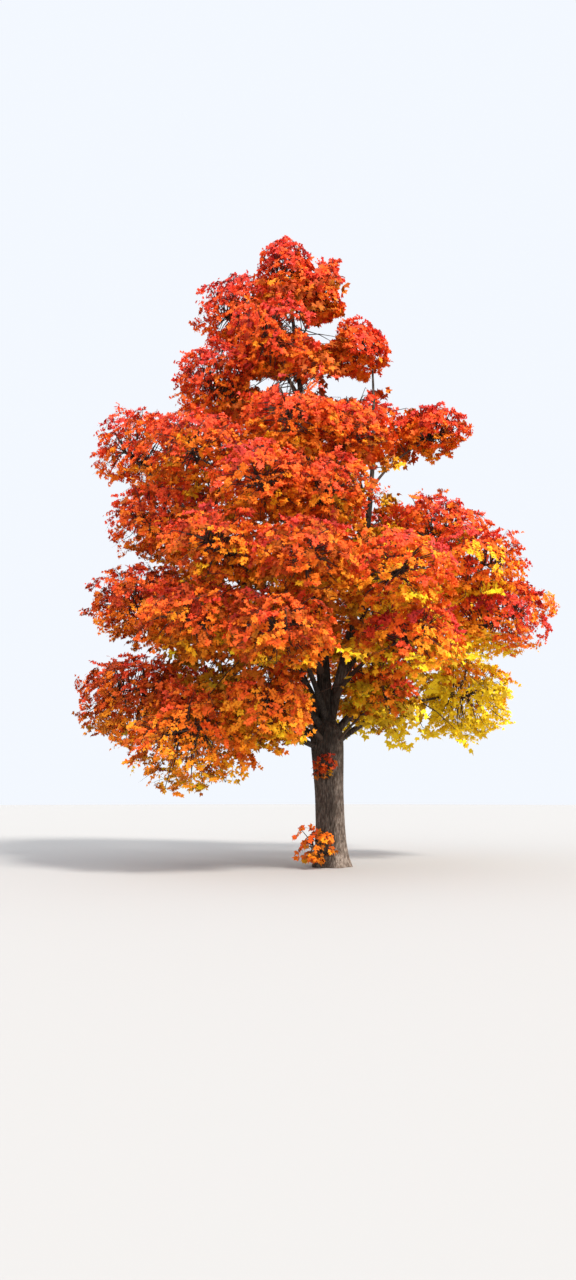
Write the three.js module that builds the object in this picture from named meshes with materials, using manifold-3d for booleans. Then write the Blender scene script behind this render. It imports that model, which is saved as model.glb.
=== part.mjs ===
// A broad maple tree in autumn leaf, rooted in level ground. The trunk leans a little, forks low and
// runs on up as a leader. Boughs leave it on all sides, and each ends where it enters a mass of leaves.
// Millimetres, +Z up, the origin on the flat cut under the trunk. A side of 0 degrees is the tree's
// right, 90 its back, 180 its left and 270 its front.
import * as THREE from "three";
import { mergeVertices } from "three/addons/utils/BufferGeometryUtils.js";
import Module from "manifold-3d";

const wasm = await Module();
wasm.setup();

// The trunk
const TRUNK_TOP = 13150;
const TRUNK_LEAN = 880; // how far the top stands to the left of the foot
const LEAN_POWER = 1.6;
const STEM_RADIUS = 300; // at breast height
const FORK_SWELL = 50;
const FORK_HEIGHT = 2750;
const FORK_BLEND = 520; // the height over which the stem narrows above the fork
const LEADER_RADIUS = 165;
const LEADER_TIP_RADIUS = 26;
const FLARE = 120; // how far the roots spread at the ground
const FLARE_HEIGHT = 330;
const ROOT_COUNT = 5;
const ROOT_SPREAD = 0.34;
const SEAM_SIDES = [292, 105]; // where the two halves of the fork meet, down the stem's front and back
const SEAM_DEPTH = 0.09;
const SEAM_WIDTH = 15;
const SEAM_FOOT = 300;
const RING_CROWDING = 1.7; // how much closer the rings lie near the ground
const TRUNK_SIDES = 20;
const TRUNK_RINGS = 18;

// The boughs
const BOUGH_SIDES = 6;
const BOUGH_RINGS = 5;
const BOUGH_ARCH = 20; // degrees by which a bough leaves the trunk steeper than its chord
const STEEPEST = 80;
const BOUGH_THINNEST = 26;
const BOUGH_PER_METRE = 9.5; // root radius for each metre of length
const BOUGH_TO_TRUNK = 0.62; // the thickest that a bough is beside its trunk
const BOUGH_TIP_SHARE = 0.42;
const COLLAR_SWELL = 0.45;
const COLLAR_LENGTH = 0.05;

// The leaf masses
const STEM_TIP_RADIUS = 20;
const STEM_SIDES = 3;
const STEM_RINGS = 3;
const STEM_REACH = 0.5; // how far past the middle the stem runs, as a share of the half width
const TWIG_RADIUS = 9;
const TWIG_SHARE = 0.45; // the thickest that a twig is beside its stem
const LEAF_COUNT = 16; // tried for each mass
const LEAF_LENGTH = 1.04; // as a share of the mass's half width; each leaf stands for a spray
const LEAF_WIDTH = 1.05; // as a share of its length
const LEAF_THICKNESS = 0.018;
const LEAF_OUTLINE = [[0.52, 0.3], [0.31, 0.6], [0, 1], [-0.31, 0.6], [-0.52, 0.3]]; // across, along
const LEAF_HUB = 0.42; // how far along the leaf is thickest
const LENGTH_SPREAD = 0.16;
const TALL_SHARE = 1.4; // a flat mass has leaves of at most this share of its half height
const LEAF_DROOP = 0.35;
const LEAF_OUTWARD = 0.3; // how much the leaves turn away from the trunk
const TWIG_STARTS = [0.3, 0.95]; // where the twigs leave the stem, as shares of its way in the mass
const ENTRY_SHARE = 0.9; // how far out in the mass its bough ends
const SKIN_SHARES = [1, 0.84, 0.68, 0.5]; // how far out a leaf's middle may lie, the outermost first
const LEAF_TURNS = [0, 0.6, -0.6]; // how far a leaf may turn on the skin, in radians
const LEAF_TRIES = SKIN_SHARES.flatMap((skin) => LEAF_TURNS.map((turn) => [skin, turn]));
const SPACE_SHARE = 1.24; // how far out a mass's space goes, as the ellipsoid of its half sizes
const CELL_FLATNESS = 1.5;
const GOLDEN_ANGLE = Math.PI * (3 - Math.sqrt(5));

const MERGE_DISTANCE = 0.001;
const SEAT_GAP = 0.3; // between a limb and what it grows from
const CELL_GAP = 12; // between two masses
const LIMB_GAP = 4; // between a leaf and a limb it passes

// Each mass, under the stem that its limb leaves: its side of the tree in degrees, how far its middle
// stands from the foot's upright, its height, its half width, its half height, and the height where
// its limb leaves that stem. A mass that names a bough has one as a node of its own, and the others
// grow on their own stem. A bow moves the middle of the limb's path towards a side.
const crown = {
  trunk: {
    shoulder_left: {
      side: 177, reach: 4150, height: 9300, wide: 1160, tall: 960, from: 2860,
      bough: "left_stem", bow: 500, bowSide: 170,
    },
    upper_right: {
      side: 25, reach: 780, height: 11800, wide: 740, tall: 640, from: 2920,
      bough: "right_stem", bow: 820, bowSide: 338,
    },
    skirt_left: { side: 190, reach: 4180, height: 3480, wide: 1160, tall: 1000, from: 2560, bough: true },
    skirt_front_left: {
      side: 216, reach: 3480, height: 2620, wide: 1300, tall: 1060, from: 2380,
      bough: true,
    },
    skirt_front: { side: 243, reach: 2850, height: 3150, wide: 1000, tall: 900, from: 2500 },
    skirt_back_left: {
      side: 143, reach: 4000, height: 3700, wide: 1200, tall: 1060, from: 2540,
      bough: true,
    },
    skirt_right: { side: 28, reach: 3650, height: 3800, wide: 1120, tall: 1040, from: 2450, bough: true },
    inner_right: { side: 56, reach: 1850, height: 3750, wide: 960, tall: 820, from: 2600 },
    inner_front: { side: 318, reach: 1380, height: 3560, wide: 760, tall: 640, from: 2260, leaves: 15 },
    low_front_left: { side: 228, reach: 4100, height: 4800, wide: 1080, tall: 740, from: 2760, bough: true },
    low_front: { side: 255, reach: 4050, height: 4450, wide: 1060, tall: 740, from: 3060, bough: true },
    low_right: { side: 356, reach: 3620, height: 5400, wide: 1200, tall: 940, from: 2580, bough: true },
    low_back: { side: 93, reach: 4200, height: 5300, wide: 1400, tall: 1100, from: 2700, bough: true },
    mid_front_left: { side: 236, reach: 3950, height: 6150, wide: 1080, tall: 740, from: 4050 },
    mid_front: { side: 262, reach: 4200, height: 5720, wide: 1060, tall: 720, from: 4400, bough: true },
    mid_back: { side: 88, reach: 3900, height: 7300, wide: 1360, tall: 1060, from: 5100, bough: true },
    high_front_left: { side: 246, reach: 3400, height: 7450, wide: 1100, tall: 760, from: 5350 },
    high_front: { side: 266, reach: 2700, height: 7350, wide: 1000, tall: 800, from: 5900 },
    shoulder_front: { side: 250, reach: 2500, height: 9150, wide: 1060, tall: 760, from: 7200 },
    shoulder_back: { side: 104, reach: 3400, height: 9300, wide: 1320, tall: 1020, from: 7000 },
    upper_left: { side: 187, reach: 2480, height: 10700, wide: 1110, tall: 880, from: 8300 },
    upper_back_left: { side: 140, reach: 2850, height: 10850, wide: 1260, tall: 960, from: 8850 },
    top_left: { side: 184, reach: 2040, height: 12400, wide: 960, tall: 880, from: 10300 },
    top_front: { side: 226, reach: 1800, height: 11300, wide: 940, tall: 820, from: 9800 },
    top_back: { side: 124, reach: 1800, height: 12250, wide: 1080, tall: 960, from: 10800 },
    crest_right: { side: 130, reach: 260, height: 13150, wide: 600, tall: 1120, from: 11400 },
    crest: { side: 180, reach: 960, height: 13480, wide: 680, tall: 860, from: 12650 },
    trunk_shoots: { side: 252, reach: 490, height: 2090, wide: 260, tall: 280, from: 1860, leaves: 7 },
    foot_shoots: { side: 238, reach: 640, height: 440, wide: 420, tall: 500, from: 190, leaves: 9 },
  },
  left_stem: {
    low_left: { side: 182, reach: 4130, height: 5600, wide: 1160, tall: 900, from: 4000, bough: true },
    low_back_left: { side: 138, reach: 4650, height: 6250, wide: 1360, tall: 1060, from: 4500, bough: true },
    high_left: { side: 190, reach: 3720, height: 7350, wide: 1120, tall: 860, from: 5300 },
    high_back_left: { side: 146, reach: 4250, height: 8300, wide: 1360, tall: 1040, from: 5900, bough: true },
    shoulder_front_left: { side: 216, reach: 3450, height: 8500, wide: 1100, tall: 800, from: 6500 },
  },
  right_stem: {
    low_front_right: { side: 299, reach: 3000, height: 4480, wide: 1080, tall: 760, from: 3600 },
    mid_right: { side: 340, reach: 3220, height: 6300, wide: 1130, tall: 860, from: 4700 },
    mid_front_right: { side: 288, reach: 3600, height: 5600, wide: 1080, tall: 800, from: 4300 },
    low_back_right: { side: 47, reach: 4300, height: 6000, wide: 1380, tall: 1060, from: 4000, bough: true },
    high_right: { side: 354, reach: 2350, height: 7330, wide: 1120, tall: 720, from: 6000 },
    high_back_right: { side: 58, reach: 3250, height: 7700, wide: 1250, tall: 980, from: 6300 },
    shoulder_front_right: { side: 284, reach: 1400, height: 9150, wide: 1000, tall: 820, from: 7600 },
    shoulder_right: { side: 12, reach: 2470, height: 9820, wide: 850, tall: 540, from: 8300 },
    upper_back_right: { side: 72, reach: 1850, height: 10470, wide: 1130, tall: 940, from: 8900 },
  },
};

// Colours and finishes
const barkColour = 0x5a4a40;
const barkRoughness = 0.95;
const leafRoughness = 0.6;
const leafColours = {
  skirt: 0xd9731a,
  inner: 0xe0a01c,
  low: 0xdd5a1c,
  mid: 0xdf4f1c,
  high: 0xdd4a1e,
  shoulder: 0xdb3f1f,
  upper: 0xd2361f,
  top: 0xc83020,
  crest: 0xb42a22,
  trunk: 0xa85030,
  foot: 0xdf7a1e,
};

const radians = THREE.MathUtils.degToRad;
const upward = new THREE.Vector3(0, 0, 1);

// A point at a side of the tree, a distance from the foot's upright and a height
function placeAt(side, reach, height) {
  return new THREE.Vector3(reach * Math.cos(radians(side)), reach * Math.sin(radians(side)), height);
}

// A number from 0 to 1 that depends only on the two it is given
function noise(index, seed) {
  const value = Math.sin(index * 12.9898 + seed * 78.233) * 43758.5453;
  return value - Math.floor(value);
}

function trunkAxis(height) {
  return new THREE.Vector3(-TRUNK_LEAN * (height / TRUNK_TOP) ** LEAN_POWER, 0, height);
}

// How deep the seams between the fork's halves are at a height and an angle round the trunk, 0 to 1
function seamShare(height, angle) {
  const rise = THREE.MathUtils.smoothstep(height, SEAM_FOOT, FORK_HEIGHT);
  const fade = 1 - THREE.MathUtils.smoothstep(height, FORK_HEIGHT, FORK_HEIGHT + FORK_BLEND);
  const nearness = SEAM_SIDES.map((side) => {
    const turn = THREE.MathUtils.euclideanModulo(THREE.MathUtils.radToDeg(angle) - side + 180, 360) - 180;
    return Math.exp(-((turn / SEAM_WIDTH) ** 2));
  });
  return rise * fade * Math.max(...nearness);
}

// The stem's radius below the fork eases into the leader's taper above it, and the roots flare.
function trunkRadius(height, angle = 0) {
  const above = THREE.MathUtils.smoothstep(height, FORK_HEIGHT, FORK_HEIGHT + FORK_BLEND);
  const swell = FORK_SWELL * THREE.MathUtils.smoothstep(height, FORK_HEIGHT / 2, FORK_HEIGHT);
  const climbed = THREE.MathUtils.clamp((height - FORK_HEIGHT) / (TRUNK_TOP - FORK_HEIGHT), 0, 1);
  const leader = THREE.MathUtils.lerp(LEADER_RADIUS, LEADER_TIP_RADIUS, climbed);
  const flare = FLARE * Math.exp(-height / FLARE_HEIGHT);
  const roots = 1 + ROOT_SPREAD * Math.cos(ROOT_COUNT * angle);
  const round = THREE.MathUtils.lerp(STEM_RADIUS + swell, leader, above);
  return round * (1 - SEAM_DEPTH * seamShare(height, angle)) + flare * roots;
}

// Takes a three.js geometry to a closed solid.
function solidOf(geometry) {
  geometry.deleteAttribute("normal");
  geometry.deleteAttribute("uv");
  const merged = mergeVertices(geometry, MERGE_DISTANCE);
  return new wasm.Manifold(
    new wasm.Mesh({
      numProp: 3,
      vertProperties: merged.attributes.position.array,
      triVerts: new Uint32Array(merged.index.array),
    }),
  );
}

function geometryOf(solid) {
  const made = solid.getMesh();
  const geometry = new THREE.BufferGeometry();
  geometry.setAttribute("position", new THREE.BufferAttribute(new Float32Array(made.vertProperties), 3));
  geometry.setIndex(new THREE.BufferAttribute(new Uint32Array(made.triVerts), 1));
  geometry.computeVertexNormals();
  return geometry;
}

// What is left of a limb outside its seat, without any scrap on the seat's far side
function cutAt(seat, limb) {
  const left = limb.subtract(seat).decompose();
  return left.reduce((largest, piece) => (piece.volume() > largest.volume() ? piece : largest));
}

// The trunk's rings are level, and lie closer together near the ground. Extra widens it all round.
function trunkSolid(extra = 0) {
  const geometry = new THREE.CylinderGeometry(1, 1, 1, TRUNK_SIDES, TRUNK_RINGS);
  const places = geometry.attributes.position;
  for (let i = 0; i < places.count; i++) {
    const height = TRUNK_TOP * (places.getY(i) + 0.5) ** RING_CROWDING;
    const angle = Math.atan2(-places.getZ(i), places.getX(i));
    const radius = Math.hypot(places.getX(i), places.getZ(i)) * (trunkRadius(height, angle) + extra);
    const axis = trunkAxis(height);
    places.setXYZ(i, axis.x + radius * Math.cos(angle), axis.y + radius * Math.sin(angle), height);
  }
  return solidOf(geometry);
}

// A closed limb along a stretch of a curve: a prism of that many sides, bent to the curve and
// tapered ring by ring.
function limbSolid(curve, start, end, radiusAt, sides, rings) {
  const corners = Array.from({ length: sides }, (_, i) => {
    const turn = (2 * Math.PI * i) / sides;
    return new THREE.Vector2(Math.cos(turn), Math.sin(turn));
  });
  const prism = { depth: 1, steps: rings, bevelEnabled: false };
  const geometry = new THREE.ExtrudeGeometry(new THREE.Shape(corners), prism);
  const places = geometry.attributes.position;
  const shares = Array.from({ length: rings + 1 }, (_, i) => THREE.MathUtils.lerp(start, end, i / rings));
  const tangents = shares.map((share) => curve.getTangent(share));
  const across = [new THREE.Vector3().crossVectors(upward, tangents[0]).normalize()];
  for (let i = 1; i <= rings; i++) {
    const turned = across[i - 1].clone().addScaledVector(tangents[i], -across[i - 1].dot(tangents[i]));
    across.push(turned.normalize());
  }
  for (let i = 0; i < places.count; i++) {
    const ring = Math.round(places.getZ(i) * rings);
    const radius = radiusAt(shares[ring]);
    const side = new THREE.Vector3().crossVectors(tangents[ring], across[ring]);
    const point = curve
      .getPoint(shares[ring])
      .addScaledVector(across[ring], places.getX(i) * radius)
      .addScaledVector(side, places.getY(i) * radius);
    places.setXYZ(i, point.x, point.y, point.z);
  }
  return solidOf(geometry);
}

// The path of a mass's limb: from the middle of what it grows from, steeper than its chord at first,
// to a point a little past the middle of the mass.
function limbPath(start, { middle, outward, wide, bow = 0, bowSide = 0 }) {
  const end = middle.clone().addScaledVector(outward, STEM_REACH * wide);
  const chord = end.clone().sub(start);
  const flat = Math.hypot(chord.x, chord.y);
  const slope = Math.atan2(chord.z, flat);
  const climb = Math.max(slope, Math.min(slope + radians(BOUGH_ARCH), radians(STEEPEST)));
  const leaving = new THREE.Vector3(
    (chord.x / flat) * Math.cos(climb),
    (chord.y / flat) * Math.cos(climb),
    Math.sin(climb),
  );
  const bend = leaving.multiplyScalar(chord.length() / 2).add(start).add(placeAt(bowSide, bow, 0));
  return new THREE.QuadraticBezierCurve3(start, bend, end);
}

// How far out a point lies in a mass: under 1 is inside its ellipsoid.
function outness(point, mass) {
  const { x, y, z } = point.clone().sub(mass.middle);
  return Math.hypot(x / mass.wide, y / mass.wide, z / mass.tall);
}

// The share of the path where a test first fails, on a path where it then stays failed
function shareWhere(path, test) {
  let low = 0;
  let high = 1;
  for (let halving = 0; halving < 30; halving++) {
    const mid = (low + high) / 2;
    if (test(path.getPoint(mid))) low = mid;
    else high = mid;
  }
  return high;
}

// The share of the path that lies a short distance past another
function shareBeyond(path, share, distance) {
  const step = 0.001;
  return share + (distance * step) / path.getPoint(share).distanceTo(path.getPoint(share + step));
}

// Heights count for more in the planes between masses, so that the planes lie flatter.
function stretched(point) {
  return new THREE.Vector3(point.x, point.y, point.z * CELL_FLATNESS);
}

// A mass keeps to its own space: inside its ellipsoid, and on its side of the plane between it and
// each neighbour.
function inSpace(point, mass) {
  if (outness(point, mass) > SPACE_SHARE) return false;
  const here = stretched(point);
  const own = here.distanceToSquared(stretched(mass.middle)) - mass.wide ** 2;
  return mass.neighbours.every((other) => {
    const theirs = here.distanceToSquared(stretched(other.middle)) - other.wide ** 2;
    const apart = stretched(mass.middle).distanceTo(stretched(other.middle));
    return own + 2 * apart * CELL_GAP < theirs;
  });
}

// One leaf of three lobes on its twig, as one closed body. The three-sided twig runs from the stem
// to the leaf's root, and the leaf lies along a direction with its upper face towards a normal.
function leafOnTwig(start, root, direction, normal, length, twigRadius) {
  const along = root.clone().sub(start).normalize();
  const width = new THREE.Vector3().crossVectors(direction, normal);
  const left = width.clone().addScaledVector(along, -width.dot(along)).normalize();
  const back = new THREE.Vector3().crossVectors(left, along);
  const section = (centre, radius) => [
    centre.clone().addScaledVector(left, -radius),
    centre.clone().addScaledVector(left, radius),
    centre.clone().addScaledVector(back, radius),
  ];
  const [startRight, startLeft, startBack] = section(start, twigRadius);
  const [rootRight, rootLeft, rootBack] = section(root, twigRadius);
  const at = ([across, ahead], up) =>
    root
      .clone()
      .addScaledVector(width, across * LEAF_WIDTH * length)
      .addScaledVector(direction, ahead * length)
      .addScaledVector(normal, up * LEAF_THICKNESS * length);
  const blade = LEAF_OUTLINE.map((spot) => at(spot, 0));
  const hub = at([0, LEAF_HUB], 1);
  const rim = [startLeft, rootLeft, ...blade, rootRight, startRight];
  const ridge = [startBack, rootBack, ...blade.map(() => hub), rootBack, startBack];
  const faces = [];
  rim.forEach((point, i) => {
    const next = (i + 1) % rim.length;
    faces.push(point, rim[next], ridge[next]);
    if (ridge[i] !== ridge[next]) faces.push(point, ridge[next], ridge[i]);
  });
  faces.push(startLeft, rootRight, rootLeft, startLeft, startRight, rootRight);
  const rootShare = twigRadius / (LEAF_WIDTH * length);
  const outline = [[rootShare, 0], ...LEAF_OUTLINE, [-rootShare, 0]];
  const flat = outline.map(([across, ahead]) => new THREE.Vector2(across, ahead));
  const underside = [rootLeft, ...blade, rootRight];
  for (const [a, b, c] of THREE.ShapeUtils.triangulateShape(flat, [])) {
    faces.push(underside[a], underside[c], underside[b]);
  }
  const geometry = new THREE.BufferGeometry().setFromPoints(faces);
  return { solid: solidOf(geometry), points: [...blade, hub, root, start] };
}

// The leaves' middles are spread evenly over the mass by the golden angle. Each lies along the skin
// with its tip downhill, on a twig that leaves the stem a little behind it. One that would leave the
// mass's space or touch a limb is tried further in, and then skipped.
function leavesOn(mass, limbs) {
  const { path, entry, middle, outward, wide, tall } = mass;
  const placed = [];
  const count = mass.leaves ?? LEAF_COUNT;
  const leafSize = LEAF_LENGTH * Math.min(wide, tall * TALL_SHARE);
  for (let k = 0; k < count; k++) {
    const length = leafSize * (1 + LENGTH_SPREAD * (noise(k, mass.seed) - 0.5));
    const up = 1 - (2 * (k + 0.5)) / count;
    const round = k * GOLDEN_ANGLE + 2 * Math.PI * noise(0, mass.seed);
    const level = Math.sqrt(1 - up * up);
    const spread = new THREE.Vector3(level * Math.cos(round), level * Math.sin(round), up);
    const fromMiddle = new THREE.Vector3(spread.x * wide, spread.y * wide, spread.z * tall);
    const rise = Math.abs(spread.z) / tall + 0.5 / wide;
    const normal = new THREE.Vector3(spread.x / wide, spread.y / wide, rise).normalize();
    const direction = new THREE.Vector3(spread.x, spread.y, -LEAF_DROOP);
    direction.addScaledVector(outward, LEAF_OUTWARD);
    direction.addScaledVector(normal, -direction.dot(normal)).normalize();
    const along = THREE.MathUtils.mapLinear(spread.dot(outward), -1, 1, ...TWIG_STARTS);
    const share = THREE.MathUtils.lerp(entry, 1, along);
    const start = path.getPoint(share);
    const twigRadius = Math.min(TWIG_RADIUS, TWIG_SHARE * limbRadius(mass, share));
    for (const [skin, turn] of LEAF_TRIES) {
      const tip = direction.clone().applyAxisAngle(normal, turn);
      const root = fromMiddle.clone().multiplyScalar(skin).add(middle).addScaledVector(tip, -0.5 * length);
      const leaf = leafOnTwig(start, root, tip, normal, length, twigRadius);
      if (!leaf.points.every((point) => inSpace(point, mass))) continue;
      if (!clearOf(leaf.solid, [...limbs, ...placed])) continue;
      placed.push(leaf.solid);
      break;
    }
  }
  return placed;
}

function boxesNear(a, b) {
  return [0, 1, 2].every((i) => a.min[i] < b.max[i] + LIMB_GAP && b.min[i] < a.max[i] + LIMB_GAP);
}

function clearOf(piece, others) {
  const box = piece.boundingBox();
  const near = others.filter((other) => boxesNear(box, other.boundingBox()));
  return near.every((other) => piece.minGap(other, 2 * LIMB_GAP) > LIMB_GAP);
}

// The radius of a limb from its root to its end in the mass
function limbRadius(mass, share) {
  const length = mass.path.getLength() / 1000;
  const root = Math.min(BOUGH_THINNEST + BOUGH_PER_METRE * length, BOUGH_TO_TRUNK * mass.carrierRadius);
  const collar = 1 + COLLAR_SWELL * Math.exp(-share / COLLAR_LENGTH);
  const tip = Math.max(root * BOUGH_TIP_SHARE, STEM_TIP_RADIUS);
  if (share < mass.entry) return THREE.MathUtils.lerp(root, tip, share / mass.entry) * collar;
  return THREE.MathUtils.lerp(tip, STEM_TIP_RADIUS, (share - mass.entry) / (1 - mass.entry)) * collar;
}

// Works out each mass's place and its limb's path from its named sizes, stem by stem.
function settleMasses() {
  const all = [];
  for (const [carrierName, carried] of Object.entries(crown)) {
    const carrier = all.find((other) => other.bough === carrierName);
    for (const [name, sizes] of Object.entries(carried)) {
      const mass = { name, carrierName, seed: all.length + 1, ...sizes };
      let start = trunkAxis(mass.from);
      mass.carrierRadius = trunkRadius(mass.from);
      if (carrier) {
        const share = shareWhere(carrier.path, (point) => point.z < mass.from);
        start = carrier.path.getPoint(share);
        mass.carrierRadius = limbRadius(carrier, share);
      }
      mass.middle = placeAt(mass.side, mass.reach, mass.height);
      mass.outward = mass.middle.clone().sub(start).projectOnPlane(upward).normalize();
      mass.path = limbPath(start, mass);
      mass.entry = shareWhere(mass.path, (point) => outness(point, mass) > ENTRY_SHARE);
      all.push(mass);
    }
  }
  for (const mass of all) mass.neighbours = all.filter((other) => other !== mass);
  return all;
}

function addPiece(tree, name, solid, colour, roughness) {
  const material = new THREE.MeshStandardMaterial({ color: colour, roughness, metalness: 0 });
  const mesh = new THREE.Mesh(geometryOf(solid), material);
  mesh.name = name;
  tree.add(mesh);
}

function buildTree() {
  const tree = new THREE.Group();
  const trunk = trunkSolid();
  const seats = { trunk: trunkSolid(SEAT_GAP) };
  const settled = settleMasses();
  addPiece(tree, "trunk", trunk, barkColour, barkRoughness);
  const limbs = [trunk];
  for (const mass of settled) {
    const seat = seats[mass.carrierName];
    const radiusAt = (share) => limbRadius(mass, share);
    if (mass.bough) {
      const isStem = mass.bough !== true;
      const rings = isStem ? 2 * BOUGH_RINGS : BOUGH_RINGS;
      const bough = cutAt(seat, limbSolid(mass.path, 0, mass.entry, radiusAt, BOUGH_SIDES, rings));
      if (isStem) {
        const seatRadius = (share) => radiusAt(share) + SEAT_GAP;
        seats[mass.bough] = limbSolid(mass.path, 0, mass.entry, seatRadius, BOUGH_SIDES, rings);
      }
      addPiece(tree, isStem ? mass.bough : "bough_" + mass.name, bough, barkColour, barkRoughness);
      limbs.push(bough);
      const stemStart = shareBeyond(mass.path, mass.entry, SEAT_GAP);
      mass.stem = limbSolid(mass.path, stemStart, 1, radiusAt, STEM_SIDES, STEM_RINGS);
    } else {
      mass.stem = cutAt(seat, limbSolid(mass.path, 0, 1, radiusAt, STEM_SIDES, 2 * STEM_RINGS));
    }
    limbs.push(mass.stem);
  }
  for (const mass of settled) {
    const leaves = leavesOn(mass, limbs.filter((limb) => limb !== mass.stem));
    const joined = wasm.Manifold.union([mass.stem, ...leaves]);
    const tier = mass.name.split("_")[0];
    addPiece(tree, "leaves_" + mass.name, joined, leafColours[tier], leafRoughness);
  }
  return tree;
}

export default buildTree();
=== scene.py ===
import math

import bpy
import numpy as np
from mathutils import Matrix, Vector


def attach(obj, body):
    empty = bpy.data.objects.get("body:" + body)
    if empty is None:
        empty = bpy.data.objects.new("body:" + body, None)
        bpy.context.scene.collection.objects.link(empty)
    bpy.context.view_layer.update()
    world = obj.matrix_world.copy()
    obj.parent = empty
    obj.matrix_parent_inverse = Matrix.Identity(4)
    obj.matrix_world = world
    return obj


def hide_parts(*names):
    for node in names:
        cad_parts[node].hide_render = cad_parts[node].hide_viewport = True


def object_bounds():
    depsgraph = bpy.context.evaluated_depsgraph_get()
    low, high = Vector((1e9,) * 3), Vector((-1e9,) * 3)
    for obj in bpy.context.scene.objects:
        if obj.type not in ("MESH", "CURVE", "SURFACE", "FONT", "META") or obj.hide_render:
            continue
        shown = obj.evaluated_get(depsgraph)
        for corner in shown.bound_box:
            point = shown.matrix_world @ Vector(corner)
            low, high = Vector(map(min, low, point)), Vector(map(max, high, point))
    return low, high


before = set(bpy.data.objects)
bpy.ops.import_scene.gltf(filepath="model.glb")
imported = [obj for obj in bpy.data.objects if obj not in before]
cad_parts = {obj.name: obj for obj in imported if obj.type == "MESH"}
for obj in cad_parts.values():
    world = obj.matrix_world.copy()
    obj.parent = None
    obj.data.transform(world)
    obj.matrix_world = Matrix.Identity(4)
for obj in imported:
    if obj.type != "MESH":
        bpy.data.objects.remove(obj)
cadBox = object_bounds()

# An autumn maple, in metres, with the limbs and the masses where the source has them.
# A side of 0 degrees is the tree's right, 90 its back, 180 its left and 270 its front.

goldenAngle = math.pi * (3 - math.sqrt(5))
upward = np.array([0.0, 0.0, 1.0])

# What each draw of noise adds to its mass's number, so that no two draws are alike. The last two number
# the shoots of a spray and the leaves of a shoot apart.
draws = {
    "depth": 53, "lean": (41, 43, 47), "heading": 37, "innerReach": 2, "innerLength": 9,
    "shootAngle": 3, "shootLift": 5, "shootLength": 7, "leaf": (11, 13, 17, 19),
    "sprayTint": 23, "shootTint": 29, "deepTint": 31,
    "perSpray": 31, "perShoot": 17,
}


def unit(vectors):
    return vectors / np.linalg.norm(vectors, axis=-1, keepdims=True)


def dot(a, b):
    return np.sum(a * b, axis=-1, keepdims=True)


# 0 up to the low value and 1 from the high one, with a level start and end between
def smoothStep(value, low, high):
    share = np.clip((value - low) / (high - low), 0, 1)
    return share * share * (3 - 2 * share)


# The fraction of a fast sine of the index and the draw: from 0 to 1, and the same each run
def noise(index, draw):
    value = np.sin(index * 12.9898 + draw * 78.233) * 43758.5453
    return value - np.floor(value)


# Three draws of noise, each from -0.5 to 0.5, as the parts of a vector
def leaning(index, seed):
    return np.stack([noise(index, seed + draw) - 0.5 for draw in draws["lean"]], axis=-1)


# A point at a side of the tree, a distance from the foot's upright and a height
def placeAt(side, reach, height):
    return np.array([reach * math.cos(math.radians(side)), reach * math.sin(math.radians(side)), height])


trunk = {
    "top": 13.15, "lean": 0.88, "leanPower": 1.6,
    "radius": 0.3, "forkSwell": 0.05, "forkHeight": 2.75, "forkBlend": 0.52,
    "leaderRadius": 0.165, "leaderTip": 0.026, "tipLength": 0.02,
    "flare": 0.12, "flareHeight": 0.33, "rootCount": 5, "rootSpread": 0.34,
    "seamSides": (292, 105), "seamDepth": 0.09, "seamWidth": 15, "seamFoot": 0.3,
    "sides": 160, "rings": 600, "ringCrowding": 1.7,  # rings stand closer near the ground
}


# The trunk leans left by a power of the height.
def trunkAxis(height):
    height = np.asarray(height, float)
    left = -trunk["lean"] * (height / trunk["top"]) ** trunk["leanPower"]
    return np.stack([left, np.zeros_like(height), height], axis=-1)


# Bell curves round the trunk at the two seams, which rise from the foot and fade above the fork
def seamShare(height, angle):
    fork = trunk["forkHeight"]
    share = smoothStep(height, trunk["seamFoot"], fork)
    share = share * (1 - smoothStep(height, fork, fork + trunk["forkBlend"]))
    turns = [(np.degrees(angle) - side + 180) % 360 - 180 for side in trunk["seamSides"]]
    return share * np.maximum(*[np.exp(-((turn / trunk["seamWidth"]) ** 2)) for turn in turns])


# The trunk's radius eases into the leader's taper above the fork. The flare falls off exponentially,
# with a wave round it for the roots.
def trunkRadius(height, angle=0.0):
    fork, top = trunk["forkHeight"], trunk["top"]
    above = smoothStep(height, fork, fork + trunk["forkBlend"])
    swell = trunk["forkSwell"] * smoothStep(height, fork / 2, fork)
    climbed = np.clip((height - fork) / (top - fork), 0, 1)
    leader = trunk["leaderRadius"] + (trunk["leaderTip"] - trunk["leaderRadius"]) * climbed
    flare = trunk["flare"] * np.exp(-height / trunk["flareHeight"])
    roots = 1 + trunk["rootSpread"] * np.cos(trunk["rootCount"] * angle)
    roundRadius = (trunk["radius"] + swell) * (1 - above) + leader * above
    return roundRadius * (1 - trunk["seamDepth"] * seamShare(height, angle)) + flare * roots


bough = {
    "arch": 20, "steepest": 80,  # degrees by which it leaves steeper than its chord, and the limit
    "thinnest": 0.026, "perMetre": 0.0095,  # root radius, with what each metre of length adds
    "toTrunk": 0.62,  # its root radius is at most this share of its carrier's
    "tipShare": 0.42, "collarSwell": 0.45, "collarLength": 0.05,
    "sides": 28, "rings": 90,
    "flutes": 4, "fluteTwist": 3, "fluteShare": 0.3,  # shallow waves round it under the ridges
}

stem = {
    "tipRadius": 0.02,
    "reach": 0.5,  # how far past its mass's middle it ends, as a share of the half width
    "entryShare": 0.9,  # how far out in its mass it takes over from its bough: 1 is the skin
    "sides": 8, "rings": 26,
}

curveSteps = {"length": 201, "search": 4001, "limb": 60}  # points along a path, by what they are for


# A quadratic curve through its start, towards its bend and to its end
def curvePoint(path, share):
    start, bend, end = path
    t = np.asarray(share, float)[..., None]
    return (1 - t) ** 2 * start + 2 * t * (1 - t) * bend + t**2 * end


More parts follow.
